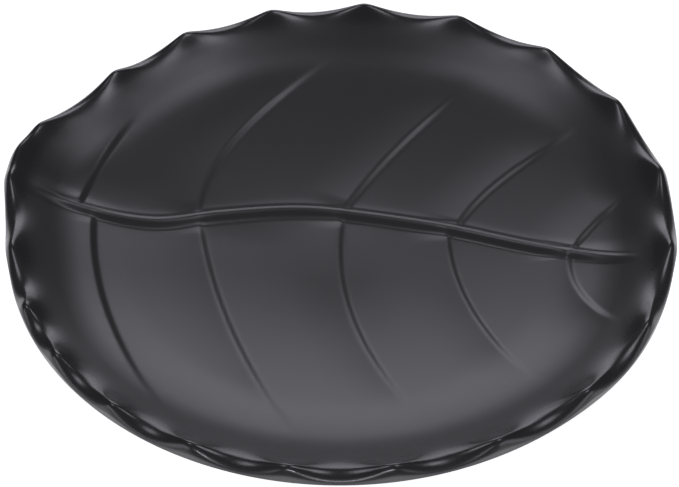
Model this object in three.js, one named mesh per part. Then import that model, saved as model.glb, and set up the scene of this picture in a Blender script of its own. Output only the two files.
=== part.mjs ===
// A leaf-shaped serving plate: one black moulding, dished like a shallow bowl, with a raised midrib,
// ten side veins and a turned-over rim that rises and falls as a row of leaf teeth.
// Millimetres. +X runs along the leaf from its base to its tip, +Z is up, and the foot stands on z = 0.
import * as THREE from 'three';

// Driving dimensions. Radii are measured on the mean outline, before the leaf shape is added.
const teeth = 21;
const meanRadius = 137.2;       // of the rim's outer edge
const floorTop = 6.0;           // top face at the middle of the dish
const wall = 3.4;               // thickness of the floor and the wall, measured upright
const wallTop = 122;            // where the wall goes over into the rim
const footRadius = 66;          // outside of the foot ring
const footWidth = 6;
const ridgeHeight = 2.1;        // of the midrib
const terraceHeight = 1.8;      // of the floor behind the midrib, above the floor in front of it
const veinHeight = 0.9;
const spokes = 144;             // mesh steps round the leaf

// The rim's section. Each has a mean and the swing either way between a hollow and a tooth.
const crestRadius = { mean: 133.3, swing: 1.1 };
const crestHeight = { mean: 32.0, swing: 1.9 };
const edgeRadius = { mean: 137.1, swing: 0.25 };
const edgeHeight = { mean: 29.4, swing: 1.4 };
const wallReach = { mean: 7.5, swing: 2.0 };  // how far the wall's slope carries on past its top
const crestReach = 1.5;         // how far inwards the crest stays level
const lowHeight = 26.7;         // the plain lower edge
const underTurn = 130.4;        // where the underside of the wall turns level under the rim

const degree = Math.PI / 180;
const { clamp, smoothstep, mapLinear } = THREE.MathUtils;

// The dish's top face climbs out from its level middle in stretches. The slope is a rise over a run,
// and changes evenly over a stretch.
const stretches = [
  { from: 18, to: 50, enter: 0, leave: 0.09 },
  { from: 50, to: 84, enter: 0.09, leave: 0.17 },
  { from: 84, to: 106, enter: 0.17, leave: 0.36 },
  { from: 106, to: 118, enter: 0.36, leave: 0.6 },
  { from: 118, to: wallTop, enter: 0.6, leave: 0.6 },
];
const wallSlope = stretches.at(-1).leave;

// Where the outline swells: by how much, at which angle and how widely (degrees).
const swells = [
  { size: 8.5, at: 173, width: 14 },
  { size: 1.5, at: 125, width: 13 },
  { size: 0.8, at: 46, width: 12 },
  { size: 1.0, at: -26, width: 14 },
];

// Plan points of the midrib, base to tip. It bows towards +Y.
const midribPoints = [
  [-136, 0], [-108, 0.5], [-78, 3.5], [-52, 14.5], [-22, 23.5], [5, 25],
  [42, 22], [77, 13.5], [107, 5], [127, -1.5],
];

// Each side vein leaves the midrib at a station along the leaf and runs out to an end point.
// The bend moves the middle of the vein back towards the base, so that it starts square to the midrib.
const veins = [
  { station: -110, end: [-95.5, 61.5], bend: 7 },
  { station: -62, end: [-14, 117], bend: 28 },
  { station: -1, end: [50, 110.5], bend: 12 },
  { station: 48, end: [97, 80], bend: 16 },
  { station: 97, end: [119, 39], bend: 5 },
  { station: -104, end: [-46, -112.5], bend: 20 },
  { station: -61, end: [6.5, -115.5], bend: 15 },
  { station: -1, end: [55.5, -101], bend: 29 },
  { station: 44, end: [96, -76], bend: 20 },
  { station: 96, end: [120, -41], bend: 12 },
];

// A smooth bump of height 1 on a circle; the middle and the width are in degrees.
function bumpAt(angle, middle, width) {
  const away = angle - middle * degree;
  return Math.exp(-((Math.atan2(Math.sin(away), Math.cos(away)) / (width * degree)) ** 2));
}

// Outer edge of the leaf: nearly round, a little narrower towards the base, with a small point there.
function outlineRadius(angle) {
  const along = 4.1 * Math.cos(angle) - 0.8 * Math.cos(2 * angle) - 0.55 * Math.cos(3 * angle);
  const skew = 1.4 * Math.sin(2 * angle);
  const swelling = swells.reduce((sum, { size, at, width }) => sum + size * bumpAt(angle, at, width), 0);
  return meanRadius + along + skew + swelling;
}

// +1 at the blunt point of a tooth and -1 in the round hollow between two teeth. The teeth start at the
// tip of the leaf and close up a little towards its base. The base is one broad lobe with no hollow.
function toothWave(angle) {
  const drift = -0.084 * Math.sin(angle) + 0.072 * (Math.cos(angle) - 1) - 0.017 * (Math.cos(2 * angle) - 1);
  const late = 0.05 * bumpAt(angle, 166, 9) + 0.073 * bumpAt(angle, 205, 12);
  const turns = teeth * (angle + drift - late);
  const blunt = 0.03;
  const rise = Math.sqrt(Math.sin(turns / 2) ** 2 + blunt);
  const wave = mapLinear(rise, Math.sqrt(blunt), Math.sqrt(1 + blunt), 1, -1);
  return wave + (1 - wave) * bumpAt(angle, 173, 6);
}

// Height of the dish's top face at a radius on the mean outline.
function dishHeight(radius) {
  return stretches.reduce((height, { from, to, enter, leave }) => {
    const run = clamp(radius - from, 0, to - from);
    return height + enter * run + (leave - enter) * run ** 2 / (2 * (to - from));
  }, floorTop);
}

const midribCurve = new THREE.SplineCurve(midribPoints.map(([x, y]) => new THREE.Vector2(x, y)));
const midribLine = midribCurve.getPoints(60);

// Sideways place of the midrib at a station along the leaf.
function midribOffset(x) {
  const next = midribLine.findIndex((point) => point.x > x);
  const [before, after] = [midribLine[next - 1], midribLine[next]];
  return mapLinear(x, before.x, after.x, before.y, after.y);
}

const veinLines = veins.map(({ station, end, bend }) => {
  const start = new THREE.Vector2(station, midribOffset(station));
  const finish = new THREE.Vector2(...end);
  const control = start.clone().add(finish).multiplyScalar(0.5);
  control.x -= bend;
  return new THREE.QuadraticBezierCurve(start, control, finish).getPoints(14);
});

// Distance from a plan point to a line of points, with its sign (positive on the line's left), and how
// far along the line the nearest point is, from 0 to 1.
function nearest(line, point) {
  let best = { distance: Infinity, signed: 0, along: 0 };
  for (let i = 0; i + 1 < line.length; i += 1) {
    const step = line[i + 1].clone().sub(line[i]);
    const reach = point.clone().sub(line[i]);
    const t = clamp(reach.dot(step) / step.lengthSq(), 0, 1);
    const distance = reach.clone().addScaledVector(step, -t).length();
    if (distance < best.distance) {
      const side = step.cross(reach) < 0 ? -1 : 1;
      best = { distance, signed: side * distance, along: (i + t) / (line.length - 1) };
    }
  }
  return best;
}

// 1 on a line, falling gently over its back (the positive side) and steeply over its flank.
function ridge(signed, back, flank) {
  return signed > 0 ? (1 - clamp(signed / back, 0, 1)) ** 2 : smoothstep(signed, -flank, 0);
}

// The midrib is a ridge along the edge of a low terrace, which is the floor on its +Y side. Each vein
// rises gently on the side of the leaf's base and drops steeply on the side of its tip.
function reliefHeight(point, radius) {
  const rib = nearest(midribLine, point);
  const ribFade = smoothstep(1 - rib.along, 0, 0.16) * (0.25 + 0.75 * smoothstep(rib.along, 0, 0.13));
  const crest = ridgeHeight * ridge(rib.signed, 16, 4.4);
  const terrace = terraceHeight * (1 - smoothstep(radius, 84, 126)) * smoothstep(rib.signed, -4.4, 0);
  const ribHeight = (crest ** 4 + terrace ** 4) ** 0.25 * ribFade;
  const veinHeights = veinLines.map((line) => {
    const vein = nearest(line, point);
    const signed = line.at(-1).y < 0 ? -vein.signed : vein.signed;
    const fade = smoothstep(1 - vein.along, 0, 0.4) * smoothstep(0.2 + vein.along / 0.1, 0, 1);
    return veinHeight * ridge(signed, 22, 3.4) * fade;
  });
  return (ribHeight + Math.max(...veinHeights)) * (1 - smoothstep(radius, meanRadius - 16, meanRadius - 4));
}

// Radius and height of a point on the section at a turn of the tooth wave, from -1 to 1.
function swinging(radius, height) {
  return (wave) => new THREE.Vector2(radius.mean + radius.swing * wave, height.mean + height.swing * wave);
}
const crestPoint = swinging(crestRadius, crestHeight);
const edgePoint = swinging(edgeRadius, edgeHeight);

// The lip falls from the crest, level at first and then steeply, to the toothed edge.
function lipPoint(wave, share) {
  const [edge, crest] = [edgePoint(wave), crestPoint(wave)];
  const fall = crest.y - edge.y;
  const steep = new THREE.Vector2(edge.x - 0.25 * fall, edge.y + 0.5 * fall);
  const level = new THREE.Vector2((crest.x + edge.x) / 2, crest.y);
  return new THREE.CubicBezierCurve(edge, steep, level, crest).getPoint(share);
}

// The wall carries on past its top and turns over level into the crest.
function turnPoint(wave, share) {
  const crest = crestPoint(wave);
  const inside = new THREE.Vector2(crest.x - crestReach, crest.y);
  const foot = new THREE.Vector2(wallTop, dishHeight(wallTop));
  const reach = wallReach.mean + wallReach.swing * wave;
  const upWall = new THREE.Vector2(foot.x + reach, foot.y + reach * wallSlope);
  return new THREE.CubicBezierCurve(crest, inside, upWall, foot).getPoint(share);
}

// The section, from the middle of the underside round the rim to the wall's top. Each entry gives the
// radius and the height of a ring for a turn of the tooth wave.
const footInside = footRadius - footWidth;
const still = (radius, height) => () => new THREE.Vector2(radius, height);
const section = [
  still(0, floorTop - wall),
  still(footInside - 20, floorTop - wall),
  still(footInside, floorTop - wall),
  still(footInside + 0.6, 0),
  still(footRadius - 0.6, 0),
  still(footRadius, dishHeight(footRadius) - wall),
  ...[72, 84, 95, 103, 111, 117, wallTop - 1].map((radius) => still(radius, dishHeight(radius) - wall)),
  still(underTurn - 1, lowHeight - 0.5),
  still(underTurn + 1, lowHeight),
  still(meanRadius - 0.4, lowHeight),
  still(meanRadius, lowHeight + 0.4),
  ...[0, 0.3, 0.65].map((share) => (wave) => lipPoint(wave, share)),
  ...[0, 0.3, 0.55, 0.75, 0.9].map((share) => (wave) => turnPoint(wave, share)),
];

// Inside the wall's top the mesh follows the leaf: its spokes run from points spread along the midrib
// out to the wall, and these are the shares of that way at which the rings lie, wall to midrib.
const innerShares = [1, 0.95, 0.9, 0.84, 0.77, 0.69, 0.6, 0.5, 0.4, 0.31, 0.23, 0.16, 0.1, 0.045, 0];
const midribReach = 112;        // the spokes start within this distance of the middle
const spokeLean = 30 * degree;  // how far a spoke's inner end is turned towards the base

// The foot is round, and the underside takes up the leaf's outline over a short way outside it.
function sectionVertex(ring, angle) {
  const point = ring(toothWave(angle));
  const leafShare = smoothstep(point.x, footRadius, 90);
  const radius = point.x * (1 + leafShare * (outlineRadius(angle) / meanRadius - 1));
  return new THREE.Vector3(radius * Math.cos(angle), radius * Math.sin(angle), point.y);
}

function innerVertex(share, angle) {
  const station = midribReach * Math.cos(angle);
  const start = new THREE.Vector2(station, midribOffset(station));
  const outAngle = angle - spokeLean * Math.sin(angle);
  const reach = outlineRadius(outAngle) * wallTop / meanRadius;
  const finish = new THREE.Vector2(reach * Math.cos(outAngle), reach * Math.sin(outAngle));
  const point = start.lerp(finish, share);
  const bearing = Math.atan2(point.y, point.x);
  const radius = point.length() * meanRadius / outlineRadius(bearing);
  return new THREE.Vector3(point.x, point.y, dishHeight(radius) + reliefHeight(point, radius));
}

// The plate is a turned shape, bottom centre to top centre, whose points are then moved out to the leaf.
function plateGeometry() {
  const rings = section.length + innerShares.length;
  const profile = Array.from({ length: rings }, (_, i) => {
    const [first, last] = [i === 0, i === rings - 1];
    return new THREE.Vector2(first || last ? 0 : 1, i);
  });
  const geometry = new THREE.LatheGeometry(profile, spokes);
  const position = geometry.getAttribute('position');
  for (let i = 0; i < position.count; i += 1) {
    const ring = i % rings;
    const angle = 2 * Math.PI * (Math.floor(i / rings) % spokes) / spokes;
    const inner = innerShares[ring - section.length];
    const leanAngle = angle - spokeLean * Math.sin(angle);
    const vertex = inner === undefined ? sectionVertex(section[ring], leanAngle) : innerVertex(inner, angle);
    position.setXYZ(i, vertex.x, vertex.y, vertex.z);
  }
  return geometry;
}

// Puts the origin at the middle of the plate's footprint, on the plane it stands on.
function centreOnFootprint(geometry) {
  geometry.computeBoundingBox();
  const middle = geometry.boundingBox.getCenter(new THREE.Vector3());
  geometry.translate(-middle.x, -middle.y, -geometry.boundingBox.min.z);
  geometry.deleteAttribute('normal');
  geometry.deleteAttribute('uv');
  geometry.computeVertexNormals();
  return geometry;
}

const mattBlack = new THREE.MeshStandardMaterial({ color: 0x2b2b2e, roughness: 0.48, metalness: 0 });
const plate = new THREE.Mesh(centreOnFootprint(plateGeometry()), mattBlack);
plate.name = 'plate_body';

const leafPlate = new THREE.Group();
leafPlate.add(plate);

export default leafPlate;
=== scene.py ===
"""A matt black leaf-shaped plate on a pale studio floor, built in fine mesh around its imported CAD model."""

import math

import bmesh
import bpy
import numpy as np
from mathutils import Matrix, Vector


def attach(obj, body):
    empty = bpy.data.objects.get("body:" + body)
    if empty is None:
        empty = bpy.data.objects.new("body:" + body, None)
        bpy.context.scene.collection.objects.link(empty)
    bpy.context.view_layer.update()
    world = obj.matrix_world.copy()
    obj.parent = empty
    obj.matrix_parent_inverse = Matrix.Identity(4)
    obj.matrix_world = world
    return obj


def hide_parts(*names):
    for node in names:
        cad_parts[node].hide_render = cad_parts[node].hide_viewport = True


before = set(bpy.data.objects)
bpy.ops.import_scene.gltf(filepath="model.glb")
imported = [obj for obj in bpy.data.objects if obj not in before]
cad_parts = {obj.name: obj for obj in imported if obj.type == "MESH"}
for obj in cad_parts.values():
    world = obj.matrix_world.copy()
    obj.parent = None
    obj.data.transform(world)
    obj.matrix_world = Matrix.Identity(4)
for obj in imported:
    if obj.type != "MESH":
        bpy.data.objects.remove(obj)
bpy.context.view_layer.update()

MM = 0.001

# The plate's driving dimensions, in millimetres. They repeat the CAD model's. Radii are measured on the
# mean outline, before the leaf shape is added.
TEETH = 21
MEAN_RADIUS = 137.2
FLOOR_TOP = 6.0
WALL = 3.4
FOOT_RADIUS = 66.0
FOOT_WIDTH = 6.0
FOOT_TAPER = 0.7        # how far each side of the foot leans in
LEAF_FULL_RADIUS = 90.0  # the underside is round at the foot and has the leaf's outline from here

# The dish's top face: from radius, to radius, slope at the start and slope at the end.
STRETCHES = (
    (18, 50, 0.0, 0.09),
    (50, 84, 0.09, 0.17),
    (84, 106, 0.17, 0.36),
    (106, 118, 0.36, 0.6),
    (118, 122, 0.6, 0.6),
)
WALL_TOP = float(STRETCHES[-1][1])
WALL_SLOPE = STRETCHES[-1][3]

# The rim. Each pair is a mean value and how far it moves either way between a hollow and a tooth.
CREST_RADIUS = (133.3, 1.1)
CREST_HEIGHT = (32.0, 1.9)
EDGE_RADIUS = (137.1, 0.25)
EDGE_HEIGHT = (29.4, 1.4)
WALL_REACH = (7.5, 2.0)
CREST_REACH = 1.5
LOW_HEIGHT = 26.7
UNDER_TURN = 130.4
TOOTH_BLUNTNESS = 0.03
BASE_LOBE = (173, 6)    # middle and width, in degrees, of the lobe with no hollow in it

# Where the outline swells: by how much, at which angle and how widely, in millimetres and degrees.
SWELLS = (
    (8.5, 173, 14),
    (1.5, 125, 13),
    (0.8, 46, 12),
    (1.0, -26, 14),
)

# Plan points of the midrib, base to tip
MIDRIB_POINTS = (
    (-136, 0), (-108, 0.5), (-78, 3.5), (-52, 14.5), (-22, 23.5), (5, 25),
    (42, 22), (77, 13.5), (107, 5), (127, -1.5),
)

# Side veins: station along the midrib, end point and bend towards the base.
VEINS = (
    (-110, (-95.5, 61.5), 7),
    (-62, (-14, 117), 28),
    (-1, (50, 110.5), 12),
    (48, (97, 80), 16),
    (97, (119, 39), 5),
    (-104, (-46, -112.5), 20),
    (-61, (6.5, -115.5), 15),
    (-1, (55.5, -101), 29),
    (44, (96, -76), 20),
    (96, (120, -41), 12),
)

# Relief, in millimetres: heights above the dish and widths across a line
MIDRIB_HEIGHT = 2.1
MIDRIB_BACK_WIDTH = 16.0
MIDRIB_FLANK_WIDTH = 4.4
TERRACE_HEIGHT = 1.8
TERRACE_INSIDE = 84.0
TERRACE_OUTSIDE = 126.0
GROOVE_DEPTH = 0.35
GROOVE_PLACE = 1.5
GROOVE_WIDTH = 0.8
VEIN_HEIGHT = 0.9
VEIN_BACK_WIDTH = 22.0
VEIN_FLANK_WIDTH = 3.4
PLAIN_MARGIN = 4.0      # no relief within this distance of the mean outline
MARGIN_FADE = 12.0

# Fineness of the mesh
SPOKES = 630
INNER_RINGS = 120
LIP_STEPS = 18
TURN_STEPS = 24
MIDRIB_REACH = 112.0
SPOKE_LEAN = math.radians(30)


def bump_at(angle, middle, width):
    """A smooth bump of height 1 on a circle; the angles are in degrees."""
    away = angle - math.radians(middle)
    away = np.arctan2(np.sin(away), np.cos(away))
    return np.exp(-((away / math.radians(width)) ** 2))


def outline_radius(angle):
    """Outer edge of the leaf: nearly round, narrower towards the base, with a small point there."""
    leaf = 4.1 * np.cos(angle) - 0.8 * np.cos(2 * angle) + 1.4 * np.sin(2 * angle) - 0.55 * np.cos(3 * angle)
    return MEAN_RADIUS + leaf + sum(size * bump_at(angle, middle, width) for size, middle, width in SWELLS)


def tooth_wave(angle):
    """+1 at the blunt point of a tooth and -1 in the round hollow between two teeth."""
    drift = -0.084 * np.sin(angle) + 0.072 * (np.cos(angle) - 1) - 0.017 * (np.cos(2 * angle) - 1)
    late = 0.05 * bump_at(angle, 166, 9) + 0.073 * bump_at(angle, 205, 12)
    turns = TEETH * (angle + drift - late)
    rise = np.sqrt(np.sin(turns / 2) ** 2 + TOOTH_BLUNTNESS)
    lowest = TOOTH_BLUNTNESS ** 0.5
    highest = (1 + TOOTH_BLUNTNESS) ** 0.5
    wave = 1 - 2 * (rise - lowest) / (highest - lowest)
    return wave + (1 - wave) * bump_at(angle, *BASE_LOBE)


def dish_height(radius):
    """Height of the top face at a radius on the mean outline, without teeth."""
    height = np.full_like(np.asarray(radius, float), FLOOR_TOP)
    for start, end, enter, leave in STRETCHES:
        run = np.clip(radius - start, 0, end - start)
        height = height + enter * run + (leave - enter) * run ** 2 / (2 * (end - start))
    return height


def spline(points, steps):
    """A smooth line through points, by the uniform Catmull-Rom formula."""
    points = np.array(points, float)
    padded = np.vstack([points[:1], points, points[-1:]])
    spans = len(points) - 1
    place = np.linspace(0, spans, steps + 1)
    index = np.minimum(place.astype(int), spans - 1)
    t = (place - index)[:, None]
    p0, p1, p2, p3 = (padded[index + k] for k in range(4))
    v1 = (p2 - p0) / 2
    v2 = (p3 - p1) / 2
    return (2 * p1 - 2 * p2 + v1 + v2) * t ** 3 + (3 * p2 - 3 * p1 - 2 * v1 - v2) * t ** 2 + v1 * t + p1


MIDRIB_LINE = spline(MIDRIB_POINTS, 120)


def midrib_offset(x):
    return np.interp(x, MIDRIB_LINE[:, 0], MIDRIB_LINE[:, 1])


def vein_line(station, end, bend):
    start = np.array([station, midrib_offset(station)])
    finish = np.array(end, float)
    control = (start + finish) / 2 - (bend, 0)
    t = np.linspace(0, 1, 25)[:, None]
    return (1 - t) ** 2 * start + 2 * t * (1 - t) * control + t ** 2 * finish


def nearest(line, points):
    """Distance from each point to a line, signed positive on its left, and the share of the line's length."""
    best = np.full(len(points), np.inf)
    signed = np.zeros(len(points))
    along = np.zeros(len(points))
    for i in range(len(line) - 1):
        step = line[i + 1] - line[i]
        reach = points - line[i]
        t = np.clip(reach @ step / (step @ step), 0, 1)
        away = reach - t[:, None] * step
        distance = np.hypot(away[:, 0], away[:, 1])
        closer = distance < best
        side = np.where(step[0] * reach[:, 1] - step[1] * reach[:, 0] < 0, -1.0, 1.0)
        best = np.where(closer, distance, best)
        signed = np.where(closer, side * distance, signed)
        along = np.where(closer, (i + t) / (len(line) - 1), along)
    return signed, along


def smooth(value):
    value = np.clip(value, 0, 1)
    return value * value * (3 - 2 * value)


def stepped_ridge(signed, back, flank):
    """1 on the line, falling gently over the back (positive side) and steeply over the flank."""
    gentle = (1 - np.clip(signed / back, 0, 1)) ** 2
    steep = smooth(1 + signed / flank)
    return np.where(signed > 0, gentle, steep)


def relief(points):
    """Height of the midrib and the veins above the plain dish.

    The floor behind the midrib is a low terrace, so the midrib reads as a step as well as a ridge."""
    bearing = np.arctan2(points[:, 1], points[:, 0])
    radius = np.hypot(points[:, 0], points[:, 1]) * MEAN_RADIUS / outline_radius(bearing)
    signed, along = nearest(MIDRIB_LINE, points)
    fade = smooth((1 - along) / 0.16) * (0.25 + 0.75 * smooth(along / 0.13))
    ridge = MIDRIB_HEIGHT * stepped_ridge(signed, MIDRIB_BACK_WIDTH, MIDRIB_FLANK_WIDTH)
    inwards = smooth((TERRACE_OUTSIDE - radius) / (TERRACE_OUTSIDE - TERRACE_INSIDE))
    terrace = TERRACE_HEIGHT * inwards * smooth(1 + signed / MIDRIB_FLANK_WIDTH)
    height = (ridge ** 4 + terrace ** 4) ** 0.25 * fade
    height -= GROOVE_DEPTH * fade * np.exp(-(((signed - GROOVE_PLACE) / GROOVE_WIDTH) ** 2))
    veins = np.zeros(len(points))
    for station, end, bend in VEINS:
        line = vein_line(station, end, bend)
        signed, along = nearest(line, points)
        if end[1] < 0:
            signed = -signed
        fade = smooth((1 - along) / 0.4) * smooth(0.2 + along / 0.1)
        vein = VEIN_HEIGHT * stepped_ridge(signed, VEIN_BACK_WIDTH, VEIN_FLANK_WIDTH) * fade
        veins = np.maximum(veins, vein)
    return (height + veins) * smooth((MEAN_RADIUS - PLAIN_MARGIN - radius) / MARGIN_FADE)


def rounded(corner, before, after, radius, steps):
    """Points of a round corner between two straight edges of a section."""
    corner, before, after = (np.array(p, float) for p in (corner, before, after))
    start = corner + (before - corner) / np.linalg.norm(before - corner) * radius
    end = corner + (after - corner) / np.linalg.norm(after - corner) * radius
    t = np.linspace(0, 1, steps)[:, None]
    return (1 - t) ** 2 * start + 2 * t * (1 - t) * corner + t ** 2 * end


def underside():
    """Rings from the middle of the underside out to the rim's plain lower edge: radius and height."""
    recess = FLOOR_TOP - WALL
    foot_in = FOOT_RADIUS - FOOT_WIDTH
    rings = [(r, recess) for r in np.linspace(0, foot_in - 2.5, 16)]
    corners = (
        ((foot_in, recess), (foot_in - 3, recess), (foot_in + FOOT_TAPER, 0), 1.4),
        ((foot_in + FOOT_TAPER, 0), (foot_in, recess), (FOOT_RADIUS, 0), 0.7),
        ((FOOT_RADIUS - FOOT_TAPER, 0), (foot_in, 0), (FOOT_RADIUS, 2.4), 0.7),
    )
    for corner, before, after, radius in corners:
        rings += list(rounded(corner, before, after, radius, 5))
    outside = float(dish_height(FOOT_RADIUS)) - WALL
    foot_side = (FOOT_RADIUS - FOOT_TAPER, 0)
    rings += list(rounded((FOOT_RADIUS, outside), foot_side, (FOOT_RADIUS + 3, outside), 1.6, 5))
    for r in np.linspace(FOOT_RADIUS + 3.5, WALL_TOP - 1, 38):
        rings.append((r, float(dish_height(r)) - WALL))
    last = rings[-1]
    turn = (UNDER_TURN, LOW_HEIGHT - 0.1)
    for climb in (0.15, 0.3, 0.45, 0.6, 0.75):
        rings.append((last[0] + (turn[0] - last[0]) * climb, last[1] + (turn[1] - last[1]) * climb))
    rings += list(rounded(turn, last, (MEAN_RADIUS, LOW_HEIGHT), 2.0, 6))
    rings += [(r, LOW_HEIGHT) for r in (133.6, 134.8, 136.0)]
    return rings


def bezier(start, leave, arrive, end, steps):
    """Points of a cubic curve for every spoke at once; each end is a pair of arrays."""
    points = []
    for t in np.linspace(0, 1, steps):
        weights = ((1 - t) ** 3, 3 * t * (1 - t) ** 2, 3 * t * t * (1 - t), t ** 3)
        corners = (start, leave, arrive, end)
        points.append(tuple(sum(w * c[k] for w, c in zip(weights, corners)) for k in (0, 1)))
    return points


def rim(wave):
    """Rings from the lower edge up the side, over the lip and the crest, and down to the wall's top."""
    still = np.zeros_like(wave)

    def swing(pair):
        return pair[0] + pair[1] * wave

    edge = (swing(EDGE_RADIUS), swing(EDGE_HEIGHT))
    crest = (swing(CREST_RADIUS), swing(CREST_HEIGHT))
    low = rounded((MEAN_RADIUS - 0.2, LOW_HEIGHT), (135, LOW_HEIGHT), (MEAN_RADIUS, LOW_HEIGHT + 2), 0.45, 5)
    rings = [(still + r, still + z) for r, z in low]
    foot = rings[-1]
    for climb in (0.25, 0.5, 0.75):
        rings.append(tuple(foot[k] + (edge[k] - foot[k]) * climb for k in (0, 1)))
    fall = crest[1] - edge[1]
    steep = (edge[0] - 0.25 * fall, edge[1] + 0.5 * fall)
    level = (crest[0] + 0.5 * (edge[0] - crest[0]), crest[1])
    rings += bezier(edge, steep, level, crest, LIP_STEPS)
    wall_top = (still + WALL_TOP, still + float(dish_height(WALL_TOP)))
    reach = swing(WALL_REACH)
    up_wall = (wall_top[0] + reach, wall_top[1] + reach * WALL_SLOPE)
    inside = (crest[0] - CREST_REACH, crest[1])
    rings += bezier(crest, inside, up_wall, wall_top, TURN_STEPS)[1:]
    return rings


def ring_points(radius, height, angle):
    """A ring of the section on the leaf's outline, one point for every spoke."""
    leaf_share = smooth((radius - FOOT_RADIUS) / (LEAF_FULL_RADIUS - FOOT_RADIUS))
    reach = radius * (1 + leaf_share * (outline_radius(angle) / MEAN_RADIUS - 1))
    return np.stack([reach * np.cos(angle), reach * np.sin(angle), height + 0 * angle], 1)


def inner_points(share, angle):
    """A ring inside the wall's top: each point lies on the way from the midrib to the wall."""
    station = MIDRIB_REACH * np.cos(angle)
    start = np.stack([station, midrib_offset(station)], 1)
    out_angle = angle - SPOKE_LEAN * np.sin(angle)
    reach = outline_radius(out_angle) * WALL_TOP / MEAN_RADIUS
    finish = np.stack([reach * np.cos(out_angle), reach * np.sin(out_angle)], 1)
    return start + (finish - start) * share


def plate_vertices():
    angle = np.linspace(0, 2 * math.pi, SPOKES, endpoint=False)
    lean_angle = angle - SPOKE_LEAN * np.sin(angle)
    rings = [ring_points(r, z, lean_angle) for r, z in underside()]
    outer = [ring_points(r, z, lean_angle) for r, z in rim(tooth_wave(lean_angle))]
    for ring in outer[-TURN_STEPS:]:
        ring[:, 2] += relief(ring[:, :2])
    shares = 1 - np.linspace(0, 1, INNER_RINGS + 1)[1:]
    plan = np.concatenate([inner_points(share, angle) for share in shares])
    bearing = np.arctan2(plan[:, 1], plan[:, 0])
    radius = np.hypot(plan[:, 0], plan[:, 1]) * MEAN_RADIUS / outline_radius(bearing)
    height = dish_height(radius) + relief(plan)
    inner = np.column_stack([plan, height])
    return np.concatenate(rings + outer + [inner]), len(rings) + len(outer) + INNER_RINGS


def plate_mesh():
    vertices, rings = plate_vertices()
    low, high = vertices.min(0), vertices.max(0)
    vertices -= ((low[0] + high[0]) / 2, (low[1] + high[1]) / 2, low[2])
    faces = []
    for ring in range(rings - 1):
        for spoke in range(SPOKES):
            after = (spoke + 1) % SPOKES
            a = ring * SPOKES + spoke
            b = ring * SPOKES + after
            faces.append((a, b, b + SPOKES, a + SPOKES))
    mesh = bpy.data.meshes.new("leaf_plate")
    mesh.from_pydata((vertices * MM).tolist(), [], faces)
    work = bmesh.new()
    work.from_mesh(mesh)
    bmesh.ops.remove_doubles(work, verts=work.verts, dist=0.002 * MM)
    bmesh.ops.dissolve_degenerate(work, edges=work.edges, dist=0.002 * MM)
    bmesh.ops.recalc_face_normals(work, faces=work.faces)
    work.to_mesh(mesh)
    work.free()
    mesh.polygons.foreach_set("use_smooth", [True] * len(mesh.polygons))
    return mesh


def noise(nodes, links, coordinates, scale, detail, roughness=0.5):
    node = nodes.new("ShaderNodeTexNoise")
    node.inputs["Scale"].default_value = scale
    node.inputs["Detail"].default_value = detail
    node.inputs["Roughness"].default_value = roughness
    links.new(coordinates, node.inputs["Vector"])
    return node.outputs["Fac"]


def remap(nodes, links, value, low, high, from_low=0.3, from_high=0.7):
    node = nodes.new("ShaderNodeMapRange")
    node.inputs["From Min"].default_value = from_low
    node.inputs["From Max"].default_value = from_high
    node.inputs["To Min"].default_value = low
    node.inputs["To Max"].default_value = high
    links.new(value, node.inputs["Value"])
    return node.outputs["Result"]


# The surface
BASE_TONES = ((0.022, 0.022, 0.0235, 1), (0.026, 0.026, 0.0275, 1))
CLOUD_SCALE = 35
GRAIN_SCALE = 2600
GRAIN_ROUGHNESS = (0.3, 0.38)
GRAIN_DEPTH = 0.02 * MM
RIM_POLISH = 0.12
POLISHED_HEIGHTS = (28 * MM, 31 * MM)


def plate_material():
    """Matt black moulded plastic: a fine grain in the surface and slightly uneven gloss."""
    material = bpy.data.materials.new("matt_black_melamine")
    material.use_nodes = True
    nodes = material.node_tree.nodes
    links = material.node_tree.links
    shader = nodes["Principled BSDF"]
    shader.inputs["IOR"].default_value = 1.5
    place = nodes.new("ShaderNodeTexCoord").outputs["Object"]

    cloud = noise(nodes, links, place, CLOUD_SCALE, 3)
    tone = nodes.new("ShaderNodeMix")
    tone.data_type = "RGBA"
    tone.inputs["A"].default_value = BASE_TONES[0]
    tone.inputs["B"].default_value = BASE_TONES[1]
    links.new(cloud, tone.inputs["Factor"])
    links.new(tone.outputs["Result"], shader.inputs["Base Color"])

    grain = noise(nodes, links, place, GRAIN_SCALE, 2)
    # Handling has polished the rim a little
    height = nodes.new("ShaderNodeSeparateXYZ")
    links.new(place, height.inputs["Vector"])
    polish = remap(nodes, links, height.outputs["Z"], 0, RIM_POLISH, *POLISHED_HEIGHTS)
    rough = nodes.new("ShaderNodeMath")
    rough.operation = "SUBTRACT"
    links.new(remap(nodes, links, grain, *GRAIN_ROUGHNESS), rough.inputs[0])
    links.new(polish, rough.inputs[1])
    links.new(rough.outputs["Value"], shader.inputs["Roughness"])

    bump = nodes.new("ShaderNodeBump")
    bump.inputs["Strength"].default_value = 0.25
    bump.inputs["Distance"].default_value = GRAIN_DEPTH
    links.new(grain, bump.inputs["Height"])
    links.new(bump.outputs["Normal"], shader.inputs["Normal"])
    return material


def make_plate():
    plate = bpy.data.objects.new("leaf_plate", plate_mesh())
    bpy.context.scene.collection.objects.link(plate)
    plate.data.materials.append(plate_material())
    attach(plate, "root")
    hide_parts("plate_body")
    return plate


# The floor, a hair below the foot so that the two faces don't coincide
STUDIO_REACH = 4.0
STUDIO_LEVEL = -0.02 * MM


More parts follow.
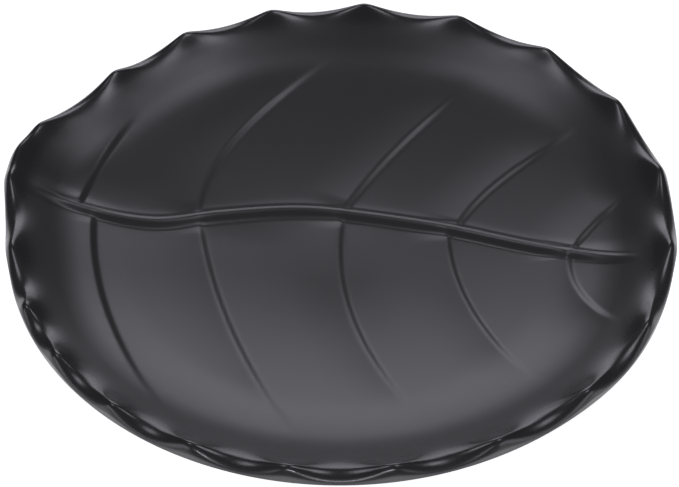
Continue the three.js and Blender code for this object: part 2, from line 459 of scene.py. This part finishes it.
def make_floor():
    mesh = bpy.data.meshes.new("studio_floor")
    sides = ((-1, -1), (1, -1), (1, 1), (-1, 1))
    corners = [(x * STUDIO_REACH, y * STUDIO_REACH, STUDIO_LEVEL) for x, y in sides]
    mesh.from_pydata(corners, [], [(0, 1, 2, 3)])
    floor = bpy.data.objects.new("studio_floor", mesh)
    bpy.context.scene.collection.objects.link(floor)
    material = bpy.data.materials.new("pale_floor")
    material.use_nodes = True
    shader = material.node_tree.nodes["Principled BSDF"]
    shader.inputs["Base Color"].default_value = (0.88, 0.88, 0.88, 1)
    shader.inputs["Roughness"].default_value = 0.9
    shader.inputs["Specular IOR Level"].default_value = 0.1
    shader.inputs["Emission Color"].default_value = (1, 1, 1, 1)
    shader.inputs["Emission Strength"].default_value = 0.8
    mesh.materials.append(material)


def aim(thing, target):
    thing.rotation_euler = (Vector(target) - thing.location).to_track_quat("-Z", "Y").to_euler()


# Camera: square to the leaf but for a small turn towards its tip, and half way down from overhead
CAMERA_BEARING = math.radians(8.69)
CAMERA_ELEVATION = math.radians(45)
CAMERA_DISTANCE = 0.817
CAMERA_TARGET = Vector((0.0052, -0.0181, 0.03205))
CAMERA_LENS = 107.2


def towards(bearing, elevation):
    """Unit vector: bearing 0 is the camera's side, positive towards the leaf's tip."""
    angle = bearing + CAMERA_BEARING
    level = math.cos(elevation)
    return Vector((math.sin(angle) * level, -math.cos(angle) * level, math.sin(elevation)))


def make_camera():
    data = bpy.data.cameras.new("camera")
    data.lens = CAMERA_LENS
    data.sensor_width = 36
    camera = bpy.data.objects.new("camera", data)
    camera.location = CAMERA_TARGET + towards(0, CAMERA_ELEVATION) * CAMERA_DISTANCE
    bpy.context.scene.collection.objects.link(camera)
    aim(camera, CAMERA_TARGET)
    bpy.context.scene.camera = camera


# A plain studio: name, bearing and elevation (degrees), width and height (m), radiance
LIGHT_DISTANCE = 1.6
LIGHT_COLOR = (0.975, 0.96, 1.06)
SOFTBOXES = (
    ("back_high", 180, 31, 0.84, 0.54, 2.95),
    ("back_low", 180, 14, 0.84, 0.36, 1.6),
    ("side_left", -118, 67, 0.55, 0.45, 4.0),
    ("side_right", 114, 67, 0.55, 0.45, 4.6),
    ("front_left", -64, 17, 1.3, 0.6, 1.7),
    ("front_right", 64, 17, 1.3, 0.6, 1.6),
    ("front_strip", 0, 32, 0.7, 0.05, 60.0),
)


def softbox(name, bearing, elevation, width, height, radiance):
    """A rectangular light of even brightness that faces the plate."""
    data = bpy.data.lights.new(name, "AREA")
    data.shape = "RECTANGLE"
    data.size = width
    data.size_y = height
    data.energy = radiance * math.pi * width * height
    data.color = LIGHT_COLOR
    light = bpy.data.objects.new(name, data)
    light.location = towards(math.radians(bearing), math.radians(elevation)) * LIGHT_DISTANCE
    bpy.context.scene.collection.objects.link(light)
    aim(light, (0, 0, 0.02))


def make_lights():
    for box in SOFTBOXES:
        softbox(*box)
    world = bpy.data.worlds.new("studio")
    world.use_nodes = True
    background = world.node_tree.nodes["Background"]
    background.inputs["Color"].default_value = (1, 1, 1, 1)
    background.inputs["Strength"].default_value = 0.03
    bpy.context.scene.world = world


bpy.context.scene.view_settings.view_transform = "Standard"
make_camera()
make_lights()
make_floor()
make_plate()
